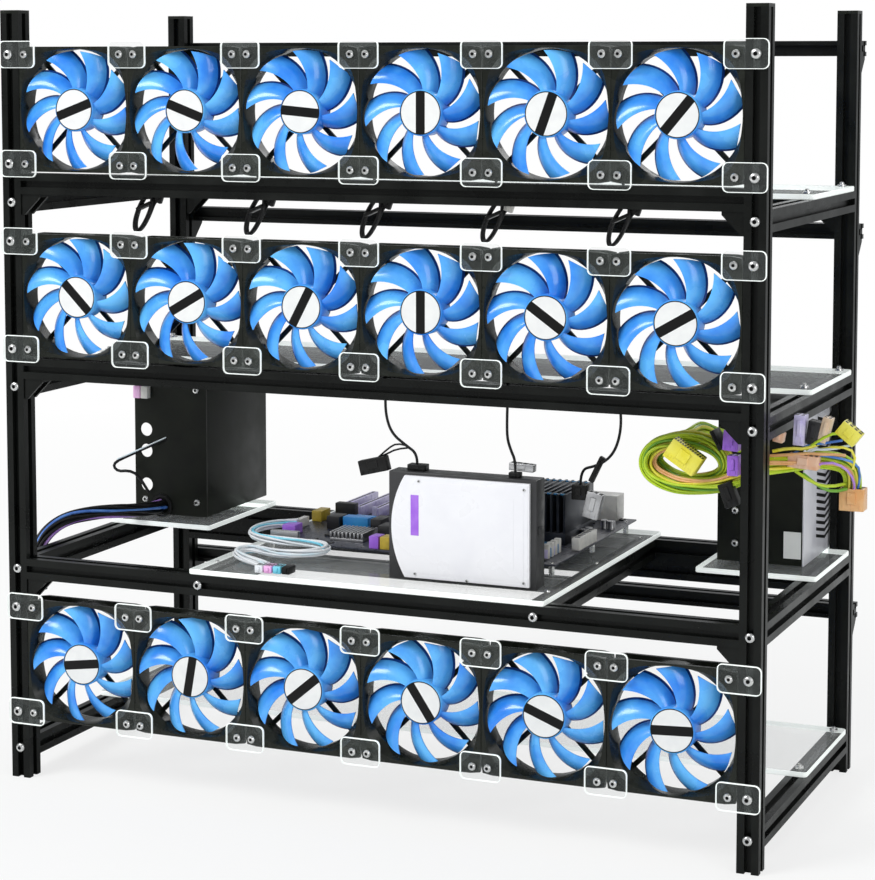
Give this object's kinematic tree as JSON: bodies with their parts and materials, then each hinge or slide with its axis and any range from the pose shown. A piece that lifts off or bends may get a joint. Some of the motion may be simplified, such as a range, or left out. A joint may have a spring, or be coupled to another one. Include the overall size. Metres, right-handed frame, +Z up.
{
  "type": "mining rig frame",
  "caption": "Open slotted-aluminium rig frame with fan rows, clear shelves, board tray, two power supplies, main board and disk.",
  "frame": {"origin": "on the floor, under the middle of the frame and its equipment", "axes": "+X to the right seen from the fan side, +Y to the back, +Z up"},
  "size_m": [0.859, 0.3806, 0.755],
  "materials": {
    "black_anodised": "satin black anodised",
    "black_plastic": "moulded black",
    "blue_plastic": "glossy azure",
    "clear_acrylic": "polished clear",
    "bright_steel": "zinc plated",
    "circuit_board": "dark solder mask",
    "slot_plastic": "pale lavender",
    "socket_plastic": "moulded",
    "cooler_metal": "black anodised fins",
    "disk_casting": "dark casting",
    "disk_cover_metal": "bright satin",
    "supply_paint": "matt black powder coat",
    "vent_panel": "satin",
    "lead_rubber": "matt black",
    "cable_yellow": "yellow and green insulation",
    "plug_plastic": "moulded"
  },
  "bodies": {
    "frame": {"post_front_left": "black_anodised", "post_front_right": "black_anodised", "post_rear_left": "black_anodised", "post_rear_right": "black_anodised", "front_beams": "black_anodised", "rear_beams": "black_anodised", "side_beams": "black_anodised", "tray_beams": "black_anodised", "gpu_rails": "black_anodised", "corner_brackets": "black_anodised", "post_caps": "black_plastic", "fan_frames_top": "black_plastic", "fan_frames_middle": "black_plastic", "fan_frames_bottom": "black_plastic", "clear_shelves": "clear_acrylic", "board_tray": "clear_acrylic", "link_plates": "clear_acrylic", "frame_bolts": "bright_steel", "board_standoffs": "bright_steel", "main_board": "circuit_board", "board_slots": "slot_plastic", "board_sockets": "socket_plastic", "board_cooler": "cooler_metal", "disk_body": "disk_casting", "disk_cover": "disk_cover_metal", "left_supply": "supply_paint", "left_supply_plate": "supply_paint", "right_supply": "supply_paint", "right_supply_panel": "vent_panel", "lead_hank_1": "lead_rubber", "lead_hank_2": "lead_rubber", "lead_hank_3": "lead_rubber", "lead_hank_4": "lead_rubber", "lead_hank_5": "lead_rubber", "lead_left": "lead_rubber", "lead_middle": "lead_rubber", "lead_right": "lead_rubber", "input_cable": "lead_rubber", "supply_cable_stem": "cable_yellow", "supply_cable_run": "cable_yellow", "supply_cable_coil": "cable_yellow", "cable_plugs": "plug_plastic"},
    "fan_top_1": {"fan_rotor_top_1": "blue_plastic"},
    "fan_top_2": {"fan_rotor_top_2": "blue_plastic"},
    "fan_top_3": {"fan_rotor_top_3": "blue_plastic"},
    "fan_top_4": {"fan_rotor_top_4": "blue_plastic"},
    "fan_top_5": {"fan_rotor_top_5": "blue_plastic"},
    "fan_top_6": {"fan_rotor_top_6": "blue_plastic"},
    "fan_middle_1": {"fan_rotor_middle_1": "blue_plastic"},
    "fan_middle_2": {"fan_rotor_middle_2": "blue_plastic"},
    "fan_middle_3": {"fan_rotor_middle_3": "blue_plastic"},
    "fan_middle_4": {"fan_rotor_middle_4": "blue_plastic"},
    "fan_middle_5": {"fan_rotor_middle_5": "blue_plastic"},
    "fan_middle_6": {"fan_rotor_middle_6": "blue_plastic"},
    "fan_bottom_1": {"fan_rotor_bottom_1": "blue_plastic"},
    "fan_bottom_2": {"fan_rotor_bottom_2": "blue_plastic"},
    "fan_bottom_3": {"fan_rotor_bottom_3": "blue_plastic"},
    "fan_bottom_4": {"fan_rotor_bottom_4": "blue_plastic"},
    "fan_bottom_5": {"fan_rotor_bottom_5": "blue_plastic"},
    "fan_bottom_6": {"fan_rotor_bottom_6": "blue_plastic"}
  },
  "joints": [
    {"name": "fan_top_1_spin", "type": "hinge", "parent": "frame", "child": "fan_top_1", "pos_m": [-0.3, -0.1734, 0.66], "axis": [0, 1, 0], "continuous": true},
    {"name": "fan_top_2_spin", "type": "hinge", "parent": "frame", "child": "fan_top_2", "pos_m": [-0.18, -0.1734, 0.66], "axis": [0, 1, 0], "continuous": true},
    {"name": "fan_top_3_spin", "type": "hinge", "parent": "frame", "child": "fan_top_3", "pos_m": [-0.06, -0.1734, 0.66], "axis": [0, 1, 0], "continuous": true},
    {"name": "fan_top_4_spin", "type": "hinge", "parent": "frame", "child": "fan_top_4", "pos_m": [0.06, -0.1734, 0.66], "axis": [0, 1, 0], "continuous": true},
    {"name": "fan_top_5_spin", "type": "hinge", "parent": "frame", "child": "fan_top_5", "pos_m": [0.18, -0.1734, 0.66], "axis": [0, 1, 0], "continuous": true},
    {"name": "fan_top_6_spin", "type": "hinge", "parent": "frame", "child": "fan_top_6", "pos_m": [0.3, -0.1734, 0.66], "axis": [0, 1, 0], "continuous": true},
    {"name": "fan_middle_1_spin", "type": "hinge", "parent": "frame", "child": "fan_middle_1", "pos_m": [-0.3, -0.1734, 0.48], "axis": [0, 1, 0], "continuous": true},
    {"name": "fan_middle_2_spin", "type": "hinge", "parent": "frame", "child": "fan_middle_2", "pos_m": [-0.18, -0.1734, 0.48], "axis": [0, 1, 0], "continuous": true},
    {"name": "fan_middle_3_spin", "type": "hinge", "parent": "frame", "child": "fan_middle_3", "pos_m": [-0.06, -0.1734, 0.48], "axis": [0, 1, 0], "continuous": true},
    {"name": "fan_middle_4_spin", "type": "hinge", "parent": "frame", "child": "fan_middle_4", "pos_m": [0.06, -0.1734, 0.48], "axis": [0, 1, 0], "continuous": true},
    {"name": "fan_middle_5_spin", "type": "hinge", "parent": "frame", "child": "fan_middle_5", "pos_m": [0.18, -0.1734, 0.48], "axis": [0, 1, 0], "continuous": true},
    {"name": "fan_middle_6_spin", "type": "hinge", "parent": "frame", "child": "fan_middle_6", "pos_m": [0.3, -0.1734, 0.48], "axis": [0, 1, 0], "continuous": true},
    {"name": "fan_bottom_1_spin", "type": "hinge", "parent": "frame", "child": "fan_bottom_1", "pos_m": [-0.3, -0.1734, 0.12], "axis": [0, 1, 0], "continuous": true},
    {"name": "fan_bottom_2_spin", "type": "hinge", "parent": "frame", "child": "fan_bottom_2", "pos_m": [-0.18, -0.1734, 0.12], "axis": [0, 1, 0], "continuous": true},
    {"name": "fan_bottom_3_spin", "type": "hinge", "parent": "frame", "child": "fan_bottom_3", "pos_m": [-0.06, -0.1734, 0.12], "axis": [0, 1, 0], "continuous": true},
    {"name": "fan_bottom_4_spin", "type": "hinge", "parent": "frame", "child": "fan_bottom_4", "pos_m": [0.06, -0.1734, 0.12], "axis": [0, 1, 0], "continuous": true},
    {"name": "fan_bottom_5_spin", "type": "hinge", "parent": "frame", "child": "fan_bottom_5", "pos_m": [0.18, -0.1734, 0.12], "axis": [0, 1, 0], "continuous": true},
    {"name": "fan_bottom_6_spin", "type": "hinge", "parent": "frame", "child": "fan_bottom_6", "pos_m": [0.3, -0.1734, 0.12], "axis": [0, 1, 0], "continuous": true}
  ]
}
